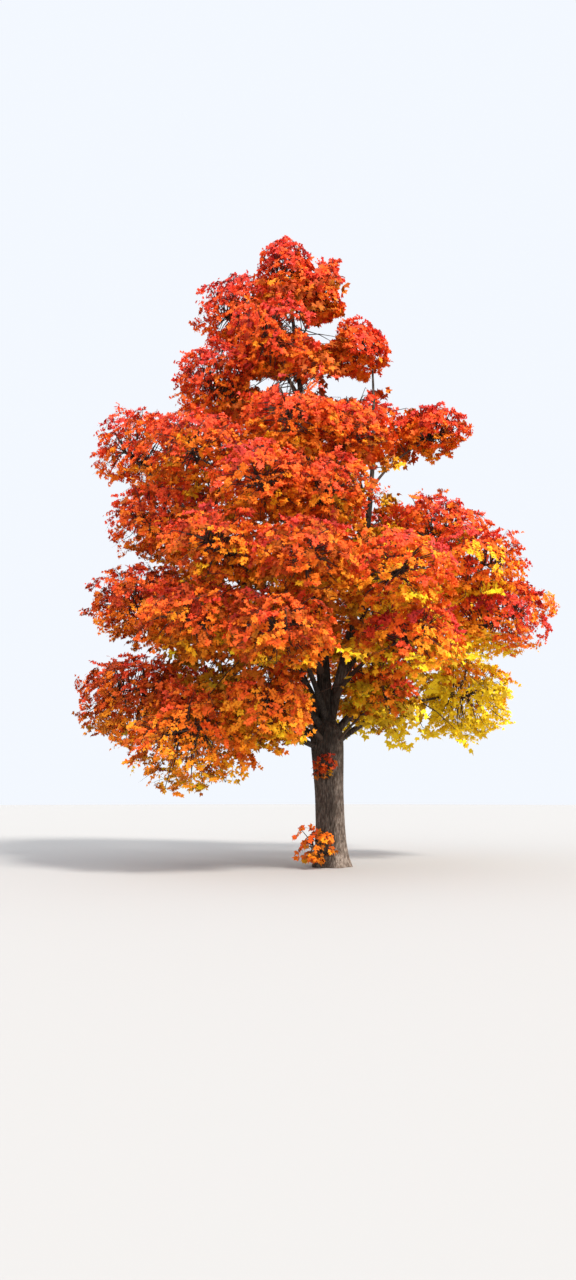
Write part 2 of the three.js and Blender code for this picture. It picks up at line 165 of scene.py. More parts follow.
# The sum of short chords along the curve
def curveLength(path):
    points = curvePoint(path, np.linspace(0, 1, curveSteps["length"]))
    return np.linalg.norm(np.diff(points, axis=0), axis=1).sum()


# The share of the path where a test first fails
def shareWhere(path, test):
    shares = np.linspace(0, 1, curveSteps["search"])
    return shares[np.argmin(test(curvePoint(path, shares)))]


# The limb starts on the middle of its carrier, leaves steeper than its chord by a fixed angle, and ends
# past the middle of its mass. The bend lies half the chord's length out, and the bow moves it sideways.
def limbPath(start, mass):
    end = mass["middle"] + mass["outward"] * stem["reach"] * mass["wide"]
    chord = end - start
    flat = math.hypot(chord[0], chord[1])
    slope = math.atan2(chord[2], flat)
    climb = max(slope, min(slope + math.radians(bough["arch"]), math.radians(bough["steepest"])))
    leaving = np.array([
        chord[0] / flat * math.cos(climb), chord[1] / flat * math.cos(climb), math.sin(climb),
    ])
    bow = placeAt(mass.get("bowSide", 0), mass.get("bow", 0), 0)
    return start, start + leaving * np.linalg.norm(chord) / 2 + bow, end


# The distance from the mass's middle in its half sizes: under 1 is inside its ellipsoid
def outness(points, mass):
    return np.linalg.norm((points - mass["middle"]) / mass["half"], axis=-1)


# A limb tapers evenly to its entry into the mass, and on to the stem's end. The collar at its root falls
# off exponentially.
def limbRadius(mass, share):
    length = curveLength(mass["path"])
    root = min(bough["thinnest"] + bough["perMetre"] * length, bough["toTrunk"] * mass["carrierRadius"])
    tip = max(root * mass.get("tipShare", bough["tipShare"]), stem["tipRadius"])
    radius = np.interp(share, [0, mass["entry"], 1], [root, tip, stem["tipRadius"]])
    return radius * (1 + bough["collarSwell"] * np.exp(-np.asarray(share) / bough["collarLength"]))


# Each mass of foliage by the limb that carries it: the side, reach and height of its middle, its half
# width and half height, and the height from which its limb leaves. A limb that is a bough is a piece of
# its own, and the two stems carry masses in turn. A mass may state how far its limb bows and to which
# side, how slim the limb ends, its numbers of sprays, inner sprays, shoots and pairs of leaves, how far
# out and how near a mass its inner sprays stand, the size of its leaves, how much redder it is and its
# share of leaves in painted shade, which take darker copies of their tints.
columns = ("side", "reach", "height", "wide", "tall", "from")
crown = {
    "trunk": {
        "shoulder_left": (
            177, 4.15, 9.3, 1.16, 0.96, 2.86, {"bough": "left_stem", "bow": 0.5, "bowSide": 170},
        ),
        "upper_right": (
            25, 0.78, 11.8, 0.74, 0.64, 2.92,
            {"bough": "right_stem", "bow": 0.82, "bowSide": 338, "tipShare": 0.2},
        ),
        "skirt_left": (
            190, 4.18, 3.48, 1.16, 1.0, 2.56,
            {"bough": True, "sprays": 92, "inner": 50, "innerReach": 0.85, "nearMass": 2.1},
        ),
        "skirt_front_left": (
            216, 3.48, 2.62, 1.3, 1.06, 2.38, {"bough": True, "sprays": 80, "redder": -0.05, "deep": 0.3},
        ),
        "skirt_front": (243, 2.85, 3.15, 1.0, 0.9, 2.5, {"redder": -0.05, "deep": 0.25}),
        "skirt_back_left": (
            143, 4.0, 3.7, 1.2, 1.06, 2.54,
            {"bough": True, "sprays": 76, "inner": 34, "innerReach": 0.85, "nearMass": 2.1},
        ),
        "skirt_right": (
            28, 3.65, 3.8, 1.12, 1.04, 2.45, {"bough": True, "redder": -0.5, "sprays": 84, "deep": 0.0},
        ),
        "inner_right": (
            56, 1.85, 3.75, 0.96, 0.82, 2.6, {"redder": -0.14, "sprays": 44, "inner": 8, "deep": 0.35},
        ),
        "inner_front": (
            318, 1.38, 3.56, 0.76, 0.64, 2.26, {"redder": -0.14, "sprays": 34, "inner": 4, "deep": 0.35},
        ),
        "low_front_left": (228, 4.1, 4.8, 1.08, 0.74, 2.76, {"bough": True}),
        "low_front": (255, 4.05, 4.45, 1.06, 0.74, 3.06, {"bough": True}),
        "low_right": (356, 3.62, 5.4, 1.2, 0.94, 2.58, {"bough": True, "sprays": 82, "redder": 0.04}),
        "low_back": (93, 4.2, 5.3, 1.4, 1.1, 2.7, {"bough": True}),
        "mid_front_left": (236, 3.95, 6.15, 1.08, 0.74, 4.05, {}),
        "mid_front": (262, 4.2, 5.72, 1.06, 0.72, 4.4, {"bough": True}),
        "mid_back": (88, 3.9, 7.3, 1.36, 1.06, 5.1, {"bough": True}),
        "high_front_left": (246, 3.4, 7.45, 1.1, 0.76, 5.35, {}),
        "high_front": (266, 2.7, 7.35, 1.0, 0.8, 5.9, {}),
        "shoulder_front": (250, 2.5, 9.15, 1.06, 0.76, 7.2, {}),
        "shoulder_back": (104, 3.4, 9.3, 1.32, 1.02, 7.0, {}),
        "upper_left": (187, 2.48, 10.7, 1.11, 0.88, 8.3, {}),
        "upper_back_left": (140, 2.85, 10.85, 1.26, 0.96, 8.85, {}),
        "top_left": (184, 2.04, 12.4, 0.96, 0.88, 10.3, {}),
        "top_front": (226, 1.8, 11.3, 0.94, 0.82, 9.8, {}),
        "top_back": (124, 1.8, 12.25, 1.08, 0.96, 10.8, {}),
        "crest_right": (130, 0.26, 13.15, 0.6, 1.12, 11.4, {}),
        "crest": (180, 0.96, 13.48, 0.68, 0.86, 12.65, {}),
        "trunk_shoots": (
            252, 0.49, 2.09, 0.26, 0.28, 1.86,
            {"sprays": 14, "shoots": 3, "pairs": 1, "inner": 0, "leafSize": 1.3, "redder": 0.14,
             "deep": 0.75},
        ),
        "foot_shoots": (
            238, 0.64, 0.44, 0.42, 0.5, 0.19,
            {"sprays": 22, "shoots": 3, "pairs": 2, "inner": 0, "leafSize": 1.3, "deep": 0.4},
        ),
    },
    "left_stem": {
        "low_left": (
            182, 4.13, 5.6, 1.16, 0.9, 4.0,
            {"bough": True, "sprays": 80, "inner": 50, "innerReach": 0.85, "nearMass": 2.1},
        ),
        "low_back_left": (138, 4.65, 6.25, 1.36, 1.06, 4.5, {"bough": True}),
        "high_left": (190, 3.72, 7.35, 1.12, 0.86, 5.3, {}),
        "high_back_left": (146, 4.25, 8.3, 1.36, 1.04, 5.9, {"bough": True}),
        "shoulder_front_left": (216, 3.45, 8.5, 1.1, 0.8, 6.5, {}),
    },
    "right_stem": {
        "low_front_right": (299, 3.0, 4.48, 1.08, 0.76, 3.6, {}),
        "mid_right": (340, 3.22, 6.3, 1.13, 0.86, 4.7, {}),
        "mid_front_right": (288, 3.6, 5.6, 1.08, 0.8, 4.3, {}),
        "low_back_right": (47, 4.3, 6.0, 1.38, 1.06, 4.0, {"bough": True, "sprays": 74, "redder": -0.38}),
        "high_right": (354, 2.35, 7.33, 1.12, 0.72, 6.0, {}),
        "high_back_right": (58, 3.25, 7.7, 1.25, 0.98, 6.3, {}),
        "shoulder_front_right": (284, 1.4, 9.15, 1.0, 0.82, 7.6, {}),
        "shoulder_right": (12, 2.47, 9.82, 0.85, 0.54, 8.3, {}),
        "upper_back_right": (72, 1.85, 10.47, 1.13, 0.94, 8.9, {}),
    },
}


# Works out each mass's limb, from the carrier up to the mass, and where the limb enters the mass.
def settleMasses():
    masses = []
    for carrierName, carried in crown.items():
        carrier = next((mass for mass in masses if mass.get("bough") == carrierName), None)
        for name, (*placing, own) in carried.items():
            mass = {"name": name, "seed": len(masses) + 1, **dict(zip(columns, placing)), **own}
            start = trunkAxis(mass["from"])
            mass["carrierRadius"] = float(trunkRadius(mass["from"]))
            if carrier:
                share = shareWhere(carrier["path"], lambda points: points[:, 2] < mass["from"])
                start = curvePoint(carrier["path"], share)
                mass["carrierRadius"] = float(limbRadius(carrier, share))
            mass["middle"] = placeAt(mass["side"], mass["reach"], mass["height"])
            mass["half"] = np.array([mass["wide"], mass["wide"], mass["tall"]])
            mass["outward"] = unit((mass["middle"] - start) * [1, 1, 0])
            mass["path"] = limbPath(start, mass)
            mass["limb"] = curvePoint(mass["path"], np.linspace(0, 1, curveSteps["limb"]))
            mass["entry"] = shareWhere(
                mass["path"], lambda points: outness(points, mass) > stem["entryShare"]
            )
            masses.append(mass)
    return masses


# The two triangles of each cell between closed rings of points, numbered ring by ring
def wallFaces(rings, sides):
    ring, side = np.meshgrid(np.arange(rings - 1) * sides, np.arange(sides), indexing="ij")
    after = (side + 1) % sides
    corner = [ring + side, ring + after, ring + sides + after, ring + sides + side]
    return np.stack([corner[i] for i in (0, 1, 2, 0, 2, 3)], axis=-1).reshape(-1, 3)


# The triangles from a closed ring of points, by the number of its first, to a single point
def fanFaces(first, sides, point):
    around = np.arange(sides)
    return np.stack([first + around, first + (around + 1) % sides, np.full(sides, point)], axis=-1)


nearlyUpright = 0.9  # the share of height in a chord from which its rings are set out from another axis


# Tubes of rings round their centres, each closed by a flat root and a pointed end: the last centre
# is the point. The rings stand square to the path and are all set out from one axis, square to the chord.
def tubes(centres, radii, sides):
    count, rings = radii.shape
    ahead = unit(np.gradient(centres, axis=1))
    chord = unit(centres[:, -1] - centres[:, 0])
    upright = np.abs(chord[:, 2:]) > nearlyUpright
    across = np.cross(chord, np.where(upright, [1.0, 0.0, 0.0], upward))[:, None]
    across = unit(across - dot(across, ahead) * ahead)
    beside = np.cross(ahead, across)
    turn = 2 * np.pi * np.arange(sides) / sides
    spokes = np.cos(turn)[:, None] * across[:, :rings, None]
    spokes = spokes + np.sin(turn)[:, None] * beside[:, :rings, None]
    walls = centres[:, :rings, None] + radii[:, :, None, None] * spokes
    points = np.concatenate([walls.reshape(count, -1, 3), centres[:, -1:]], axis=1)
    end = fanFaces((rings - 1) * sides, sides, rings * sides)
    root = fanFaces(0, sides, 0)[1:-1, [2, 1, 0]]
    faces = np.concatenate([wallFaces(rings, sides), end, root])
    step = rings * sides + 1
    return points.reshape(-1, 3), (faces + np.arange(count)[:, None, None] * step).reshape(-1, 3)


# Puts arrays of points and triangles into a new mesh object at the origin, riding on the tree.
def addPiece(name, parts, materials, smooth, nodes, slots=None):
    offsets = np.cumsum([0] + [len(points) for points, _ in parts[:-1]])
    points = np.concatenate([points for points, _ in parts])
    faces = np.concatenate([faces + offset for (_, faces), offset in zip(parts, offsets)])
    mesh = bpy.data.meshes.new(name)
    mesh.vertices.add(len(points))
    mesh.vertices.foreach_set("co", points.astype(np.float32).ravel())
    mesh.loops.add(faces.size)
    mesh.loops.foreach_set("vertex_index", faces.astype(np.int32).ravel())
    mesh.polygons.add(len(faces))
    mesh.polygons.foreach_set("loop_start", np.arange(0, faces.size, 3, dtype=np.int32))
    for material in materials:
        mesh.materials.append(material)
    if slots is not None:
        mesh.polygons.foreach_set("material_index", slots.astype(np.int32))
    mesh.polygons.foreach_set("use_smooth", np.full(len(faces), smooth))
    mesh.update(calc_edges=True)
    piece = bpy.data.objects.new(name, mesh)
    bpy.context.scene.collection.objects.link(piece)
    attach(piece, "root")
    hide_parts(*nodes)


bark = {
    "ridgeDepth": 0.011, "cellsAround": 34, "cellHeight": 0.26, "furrowWidth": 0.62,
    "waver": 0.9, "wavers": ((3, 2.1, 1), (-2, 5.3, 2)),  # by turn, climb and the limb's number
    "crossWaver": 1.3, "crossShift": 1.7,  # what sets the second family of furrows apart from the first
    "sunk": 0.6,  # the share of the relief that lies under the limb's own radius
    "thinShares": (0.25, 1.3),  # the relief's least and greatest share as the trunk thins
    "boughRelief": 0.09, "boughFewer": 3,  # as a share of a bough's radius, with fewer ridges round it
    "dark": (0.022, 0.015, 0.011), "middle": (0.1, 0.074, 0.058), "pale": (0.29, 0.24, 0.2),
    "darkAt": 0.52, "middleAt": 0.72, "paleAt": 0.98,
    "grain": 34, "grainDetail": 8, "grainRoughness": 0.62, "stretch": 0.22,
    "patches": 2.2, "patchDetail": 5, "patchShare": 0.45,
    "bumpDistance": 0.012, "bumpStrength": 0.8, "roughness": 0.92, "specular": 0.2,
    "shadeFrom": 1.6, "shadeTo": 2.8, "crownShadeShare": 0.42,  # heights over which painted shade from the crown darkens it, and how dark
    "seamFrom": 0.03, "seamTo": 0.13, "shadedLeftShare": 0.78, "sunlitRightShare": 1.5,  # painted sunlight: paler right of its seam, in painted shade left of it
}


# Bark ridges stand between two families of slanting furrows that cross in a net: sines of the turn round
# the limb plus and minus the climb, both wavering. Gives the height above the furrows, from 0 to 1.
def ridgeHeight(angle, along, seed=0.0):
    waves = [np.sin(turns * angle + climb * along + own * seed) for turns, climb, own in bark["wavers"]]
    waver = bark["waver"] * sum(waves)
    half = bark["cellsAround"] / 2
    climb = np.pi * along / bark["cellHeight"]
    furrow = np.minimum(
        np.abs(np.sin(half * angle + climb + waver)),
        np.abs(np.sin(half * angle - climb + bark["crossWaver"] * waver + bark["crossShift"])),
    )
    return smoothStep(furrow, 0.0, bark["furrowWidth"])


# The trunk's surface: turn round and height on a grid, with a flat cut below and a point above
def buildTrunk(material):
    sides, rings = trunk["sides"], trunk["rings"]
    height = trunk["top"] * np.linspace(0, 1, rings)[:, None] ** trunk["ringCrowding"]
    angle = 2 * np.pi * np.arange(sides)[None, :] / sides
    radius = trunkRadius(height, angle)
    relief = bark["ridgeDepth"] * np.clip(radius / trunk["radius"], *bark["thinShares"])
    radius = radius + relief * (ridgeHeight(angle, height) - bark["sunk"])
    axis = trunkAxis(height)
    points = np.stack([
        axis[..., 0] + radius * np.cos(angle), axis[..., 1] + radius * np.sin(angle), height + 0 * angle,
    ], axis=-1).reshape(-1, 3)
    tip = trunkAxis([trunk["top"]]) + [0, 0, trunk["tipLength"]]
    points = np.concatenate([points, trunkAxis([0.0]), tip])
    foot = fanFaces(0, sides, rings * sides)[:, [1, 0, 2]]
    top = fanFaces((rings - 1) * sides, sides, rings * sides + 1)
    faces = np.concatenate([wallFaces(rings, sides), foot, top])
    addPiece("trunk_bark", [(points, faces)], [material], True, ["trunk"])


# A bough's tube along its path, with flutes and bark ridges that get shallower as it thins
def buildBough(mass, material):
    share = np.linspace(0, mass["entry"], bough["rings"] + 1)
    centres = curvePoint(mass["path"], share)
    radii = limbRadius(mass, share)
    points, faces = tubes(centres[None], radii[None, :-1], bough["sides"])
    along = (share * curveLength(mass["path"]))[:-1, None]
    angle = 2 * np.pi * np.arange(bough["sides"])[None, :] / bough["sides"]
    flutes = np.sin(bough["flutes"] * angle + bough["fluteTwist"] * along) * bough["fluteShare"]
    ridges = ridgeHeight(angle / bark["boughFewer"], along, mass["seed"])
    relief = bark["boughRelief"] * radii[:-1, None] * (flutes + ridges - bark["sunk"])
    walls = points[:-1].reshape(bough["rings"], bough["sides"], 3)
    outwards = unit(walls - centres[:-1, None])
    points[:-1] = (walls + outwards * relief[..., None]).reshape(-1, 3)
    name = "bough_" + mass["name"] if mass["bough"] is True else mass["bough"]
    addPiece(name + "_bark", [(points, faces)], [material], True, [name])


# The bark's colour runs from dark furrows to pale ridges by a grain stretched up the trunk plus a share
# of broad patches, and the grain is the bump as well. The colour is scaled by a painted shade that falls
# with height up to the limbs under the crown, times a painted sunlight that rises from left to right across
# the trunk's front seam.
def barkMaterial():
    material = bpy.data.materials.new("ridged_bark")
    material.use_nodes = True
    nodes, links = material.node_tree.nodes, material.node_tree.links

    def addNode(kind, settings, sources, operation=None):
        node = nodes.new("ShaderNode" + kind)
        if operation:
            node.operation = operation
        for name, value in settings.items():
            node.inputs[name].default_value = value
        for name, source in sources.items():
            links.new(source, node.inputs[name])
        return node

    def fade(source, start, end, startShare, endShare):
        shares = {"From Min": start, "From Max": end, "To Min": startShare, "To Max": endShare}
        node = addNode("MapRange", shares, {"Value": source})
        node.interpolation_type = "SMOOTHSTEP"
        return node.outputs["Result"]

    place = addNode("TexCoord", {}, {}).outputs["Object"]
    stretch = addNode("Mapping", {"Scale": (1, 1, bark["stretch"])}, {"Vector": place})
    grain = addNode("TexNoise", {
        "Scale": bark["grain"], "Detail": bark["grainDetail"], "Roughness": bark["grainRoughness"],
    }, {"Vector": stretch.outputs["Vector"]}).outputs["Fac"]
    patches = addNode("TexNoise", {
        "Scale": bark["patches"], "Detail": bark["patchDetail"],
    }, {"Vector": place}).outputs["Fac"]
    mixed = addNode("Math", {1: bark["patchShare"]}, {0: patches, 2: grain}, "MULTIPLY_ADD")
    ramp = addNode("ValToRGB", {}, {"Fac": mixed.outputs[0]})
    dark, pale = ramp.color_ramp.elements
    dark.position, dark.color = bark["darkAt"], (*bark["dark"], 1)
    pale.position, pale.color = bark["paleAt"], (*bark["pale"], 1)
    ramp.color_ramp.elements.new(bark["middleAt"]).color = (*bark["middle"], 1)
    parts = addNode("SeparateXYZ", {}, {"Vector": place})
    # painted shade: the bark darkens with height up into the crown, as if the crown shaded it
    shadeScale = fade(parts.outputs["Z"], bark["shadeFrom"], bark["shadeTo"], 1.0, bark["crownShadeShare"])
    # painted light: paler on the sunlit right of the front seam, darker on its shaded left
    paintedSideLight = fade(
        parts.outputs["X"], bark["seamFrom"], bark["seamTo"], bark["shadedLeftShare"], bark["sunlitRightShare"]
    )
    both = addNode("Math", {}, {0: shadeScale, 1: paintedSideLight}, "MULTIPLY")
    shade = addNode("VectorMath", {}, {0: ramp.outputs["Color"], "Scale": both.outputs[0]}, "SCALE")
    bump = addNode("Bump", {
        "Distance": bark["bumpDistance"], "Strength": bark["bumpStrength"],
    }, {"Height": grain})
    shader = nodes["Principled BSDF"]
    shader.inputs["Roughness"].default_value = bark["roughness"]
    shader.inputs["Specular IOR Level"].default_value = bark["specular"]
    links.new(shade.outputs["Vector"], shader.inputs["Base Color"])
    links.new(bump.outputs["Normal"], shader.inputs["Normal"])
    return material


# Where the view is taken from, in degrees upwards and millimetres of lens and sensor
view = {"place": (-0.908, -20.8, 1.6), "pitch": 8.87, "lens": 27.03, "sensor": 36}

# Gaps through the crown where the photo shows sky between the limbs. Each is an ellipse at the trunk's
# depth: across and height of its middle, and its half width and half height.
windows = {
    "under_crest": (-0.82, 12.2, 0.32, 0.22),
    "under_crest_right": (-0.08, 12.03, 0.34, 0.26),
    "above_shoulder": (-1.5, 10.78, 0.36, 0.16),
    "above_shoulder_middle": (-0.72, 10.72, 0.44, 0.24),
    "above_shoulder_right": (0.4, 10.66, 0.5, 0.3),
    "left_end": (-3.9, 9.26, 0.19, 0.13),
}

# Stretches of limb that show bare, and how far before them there are no sprays
bare = {
    "trunk": {"heights": (2.4, 5.0), "halfWidth": 0.55, "before": 3.3},
    "right_stem": {"heights": (6.7, 8.7), "halfWidth": 0.17, "before": 2.6},
}

spray = {
    "count": 64,  # for each mass
    "length": 0.39,  # as a share of the mass's half width
    "lengthSpread": 0.8,
    "tallShare": 1.4,  # what the mass's half height counts for beside its half width
    "droop": 0.14, "outward": 0.3,  # how far its heading turns down, and away from the limb's root
    "level": 0.45,  # how far its normal turns up
    "heading": 2.8, "lean": 1.2,  # how far its heading and its normal vary
    "coarseSide": -0.2, "coarseTop": 0.5,  # the mass's inner side, under its top, has coarse sprays
    "sag": 0.1, "points": 3,  # along its branch, and along its axis
    "starts": (0.3, 0.95),  # where its branch leaves the stem, on the mass's inner and outer side
    "spaceShare": 1.04, "lumps": 0.22, "lumpWaves": (5.3, 4.9, 5.9, 3.8),  # a mass's reach and lumps
    "depth": 0.34,  # how far in from the skin it may lie
    "tierStretch": 1.5,  # how much more heights count when a place goes to one mass or another
    "skins": (0.94, 0.8, 0.66, 0.5), "turns": (0, 0.6, -0.6),  # tried one after another, until one fits
    "reachTest": 0.9, "rootWithin": 1.02,  # how much of it keeps to the mass, and how far out its root lies
    "clearOfGround": 0.16, "pastBox": 0.16,
    "rootRadius": 0.016, "tipRadius": 0.004, "sides": 3, "branchArch": 0.12,
}

# Sprays beside the limbs inside the crown, which fill the gaps between the masses
inner = {
    "count": 24, "firstIndex": 500,
    "step": 0.01,  # the share of the limb over which its heading is taken
    "along": (0.3, 1.0), "reach": (0.45, 1.0), "reachSpread": 0.9,  # along its limb, and away from it
    "length": 0.46, "lengthSpread": 0.5,
    "outward": 0.8, "droop": 0.15, "tilt": 0.4, "lean": 0.8,
    "upShare": -0.8,  # its tint is that of a mass's underside
    "startBefore": 0.05,  # how far before the spray its branch leaves the limb, and the least share
    "nearMass": 1.42, "lowest": 2.75,
    "coreHeights": (4.2, 9.5), "coreReach": (2.5, 1.3),  # round the trunk a spray needs no mass near it
}


# How far out a mass may reach at a point: its ellipsoid, with lumps about as wide as a spray from
# products of sines of the place
def reachShare(points, mass):
    x, y, z = np.moveaxis(points - mass["middle"], -1, 0)
    seed = mass["seed"]
    a, b, c, d = spray["lumpWaves"]
    lumps = np.sin(a * x + seed) * np.sin(b * y + 2 * seed)
    lumps = lumps + np.sin(c * z + 3 * seed) * np.sin(d * (x - y) + seed)
    return spray["spaceShare"] + spray["lumps"] * np.clip(lumps, -1, 1)


# Whether points keep to the source's box, with a small margin on each side
def inReach(points):
    low, high = np.array(cadBox)
    return ((points > low - spray["pastBox"]) & (points < high + spray["pastBox"])).all(-1)


# Whether points stand before a bare stretch of the trunk or of the right stem: between its heights,
# within its half width from side to side, and ahead of it by less than its depth
def beforeStem(points, masses):
    limb = next(mass["limb"] for mass in masses if mass.get("bough") == "right_stem")
    x, y, z = np.moveaxis(points, -1, 0)
    lines = {
        "trunk": (trunkAxis(np.maximum(z, 0))[..., 0], np.zeros_like(z)),
        "right_stem": (np.interp(z, limb[:, 2], limb[:, 0]), np.interp(z, limb[:, 2], limb[:, 1])),
    }
    before = np.zeros(z.shape, bool)
    for name, (limbX, limbY) in lines.items():
        low, high = bare[name]["heights"]
        ahead = limbY - y
        across = (z > low) & (z < high) & (np.abs(x - limbX) < bare[name]["halfWidth"])
        before |= across & (ahead > 0) & (ahead < bare[name]["before"])
    return before


# Whether points lie in a window, once they are brought along the line of sight to the trunk's depth
def inWindow(points):
    eyeX, eyeY, eyeZ = view["place"]
    further = (points[..., 1] - eyeY) / -eyeY
    across = eyeX + (points[..., 0] - eyeX) / further
    height = eyeZ + (points[..., 2] - eyeZ) / further
    return np.any([
        ((across - x) / halfX) ** 2 + ((height - z) / halfZ) ** 2 < 1
        for x, z, halfX, halfZ in windows.values()
    ], axis=0)


# A point is a mass's own where its squared distance from the mass's middle, less the squared half width,
# is least of all the masses. Heights count for more, so that the tiers part.
def inSpace(points, mass, masses):
    stretch = np.array([1, 1, spray["tierStretch"]])
    middles = np.array([other["middle"] for other in masses]) * stretch
    widths = np.array([other["wide"] for other in masses])
    power = ((points[..., None, :] * stretch - middles) ** 2).sum(-1) - widths**2
    return (outness(points, mass) <= reachShare(points, mass)) & (power.argmin(-1) == mass["seed"] - 1)


# Sprays over the mass by the golden angle, each along the skin with its tip downhill, tried further in
# and turned where it would leave the mass's space. Gives arrays with a row for each spray.
def placeSprays(mass, masses):
    count, seed = mass.get("sprays", spray["count"]), mass["seed"]
    index = np.arange(count)
    size = spray["length"] * min(mass["wide"], mass["tall"] * spray["tallShare"])
    length = size * (1 + spray["lengthSpread"] * (noise(index, seed) - 0.5))
    up = 1 - 2 * (index + 0.5) / count
    turn = index * goldenAngle + 2 * np.pi * noise(0, seed)
    level = np.sqrt(1 - up * up)
    spread = np.stack([level * np.cos(turn), level * np.sin(turn), up], axis=-1)
    fromMiddle = spread * mass["half"]
    deeper = 1 - spray["depth"] * noise(index, seed + draws["depth"]) ** 2
    fromMiddle = fromMiddle * (deeper * reachShare(mass["middle"] + fromMiddle, mass))[:, None]
    rise = np.abs(up) / mass["tall"] + spray["level"] / mass["wide"]
    normal = unit(np.stack([spread[:, 0] / mass["wide"], spread[:, 1] / mass["wide"], rise], axis=-1))
    direction = spread * [1, 1, 0] - spray["droop"] * upward + spray["outward"] * mass["outward"]
    normal = unit(normal + spray["lean"] * leaning(index, seed))
    direction = unit(direction - dot(direction, normal) * normal)
    veer = (spray["heading"] * (noise(index, seed + draws["heading"]) - 0.5))[:, None]
    direction = direction * np.cos(veer) + np.cross(normal, direction) * np.sin(veer)
    along = np.interp(spread @ mass["outward"], [-1, 1], spray["starts"])
    root = np.full((count, 3), np.nan)
    heading = direction.copy()
    for skin in spray["skins"]:
        for swing in spray["turns"]:
            beside = np.cross(normal, direction)
            tip = direction * math.cos(swing) + beside * math.sin(swing)
            tryRoot = mass["middle"] + fromMiddle * skin - 0.5 * length[:, None] * tip
            middle = tryRoot + 0.5 * length[:, None] * tip
            end = tryRoot + spray["reachTest"] * length[:, None] * tip
            good = inSpace(middle, mass, masses) & inSpace(end, mass, masses) & np.isnan(root[:, 0])
            good &= (outness(tryRoot, mass) < spray["rootWithin"]) & inReach(end)
            good &= ~beforeStem(middle, masses) & ~inWindow(middle) & ~inWindow(end)
            good &= np.minimum(tryRoot[:, 2], end[:, 2]) > spray["clearOfGround"]
            root[good] = tryRoot[good]
            heading[good] = tip[good]
    kept = ~np.isnan(root[:, 0])
    sprays = {
        "root": root, "direction": heading, "normal": normal, "length": length, "index": index,
        "start": mass["entry"] + (1 - mass["entry"]) * along,
        "up": (root - mass["middle"])[:, 2] / mass["tall"],
        "coarse": (spread @ mass["outward"] < spray["coarseSide"]) & (up < spray["coarseTop"]),
    }
    return {name: values[kept] for name, values in sprays.items()}


# Sprays round the limb on its way to the mass, a golden angle apart, kept near a mass or near the trunk.
# Gives the same arrays as placeSprays does.
def placeInnerSprays(mass, masses):
    index = np.arange(mass.get("inner", inner["count"])) + inner["firstIndex"]
    seed = mass["seed"]
    along = (index - inner["firstIndex"] + 0.5) / max(len(index), 1)
    share = mass["entry"] * np.interp(along, [0, 1], inner["along"])
    point = curvePoint(mass["path"], share)
    ahead = unit(curvePoint(mass["path"], share + inner["step"]) - point)
    across = unit(np.cross(ahead, upward))
    turn = (index * goldenAngle + seed)[:, None]
    radial = np.cos(turn) * across + np.sin(turn) * np.cross(across, ahead)
    reach = mass.get("innerReach", np.interp(along, [0, 1], inner["reach"]))
    reach = reach * (1 + inner["reachSpread"] * (noise(index, seed + draws["innerReach"]) - 0.5))
    root = point + radial * reach[:, None]
    direction = unit(radial + inner["outward"] * mass["outward"] - inner["droop"] * upward)
    normal = unit(upward + inner["tilt"] * radial + inner["lean"] * leaning(index, seed))
    direction = unit(direction - dot(direction, normal) * normal)
    spreadShare = noise(index, seed + draws["innerLength"]) - 0.5
    length = inner["length"] * (1 + inner["lengthSpread"] * spreadShare)
    middle, end = root + 0.5 * length[:, None] * direction, root + length[:, None] * direction
    height = middle[:, 2]
    nearness = np.min([outness(middle, other) for other in masses], axis=0)
    fromTrunk = np.linalg.norm((middle - trunkAxis(np.maximum(height, 0)))[:, :2], axis=1)
    coreReach = np.interp(height, inner["coreHeights"], inner["coreReach"])
    inCore = (height > inner["coreHeights"][0]) & (fromTrunk < coreReach)
    kept = (nearness < mass.get("nearMass", inner["nearMass"])) | inCore
    kept &= inReach(middle) & (height > inner["lowest"]) & ~beforeStem(middle, masses)
    kept &= ~inWindow(middle) & ~inWindow(end)
    sprays = {
        "root": root, "direction": direction, "normal": normal, "length": length, "index": index,
        "start": np.maximum(share - inner["startBefore"], inner["startBefore"]),
        "up": np.full(len(index), inner["upShare"]),
        "coarse": np.full(len(index), True),
    }
    return {name: values[kept] for name, values in sprays.items()}


shoot = {
    "count": 9, "angle": 62, "length": 0.6, "taper": 0.35, "fall": 0.1, "lift": 1.3,
    "unevenness": 0.5,  # how far its angle and its length vary
    "from": 0.06, "over": 0.94, "last": 0.97,  # shares of the spray's length where the shoots leave
    "radius": 0.0032, "sides": 3, "pairs": 4,
    "pastMass": 0.03, "clearOfGround": 0.08,
}

leaf = {
    "length": 0.072, "lengthSpread": 0.6,
    "coarser": 1.45, "innerCoarser": 1.95,  # how much larger on coarse and on inner sprays
    "coarseEvery": 2, "innerEvery": 4,  # of their pairs of leaves, only each second or fourth grows
    "stalk": 0.01, "angle": 64, "from": 0.22, "over": 0.74,  # shares of the shoot's length
    "unevenness": 0.5,  # how far its angle and its stalk's lift vary
    "droop": 0.7, "droopMean": 0.7,  # its mean share of the droop, which varies by a half either way
    "tilt": 1.4, "dome": 0.8, "domeAhead": 0.35, "domeBelow": 0.45,  # faces away from a point in the spray
    "facesOut": 0.7, "facesUp": 0.3,
    "clearOfLimb": 0.02, "limbTest": 0.4,  # limbs further than this from a mass's leaves aren't tested
    # half of the outline from the base to the tip: across, along, and up out of the leaf's plane
    "half": ((0.4, 0.0, -0.06), (0.58, 0.46, -0.1), (0.2, 0.5, 0.0)),
    "tip": (0.0, 1.0, -0.12),
    "faces": ((0, 1, 2), (2, 3, 4), (4, 5, 6), (0, 2, 6), (2, 4, 6)),
}


# The point on a sagging line from a root: straight ahead, less a sag that grows with the square
def sagging(root, direction, length, share):
    return root + direction * length * share - upward * spray["sag"] * length * share**2


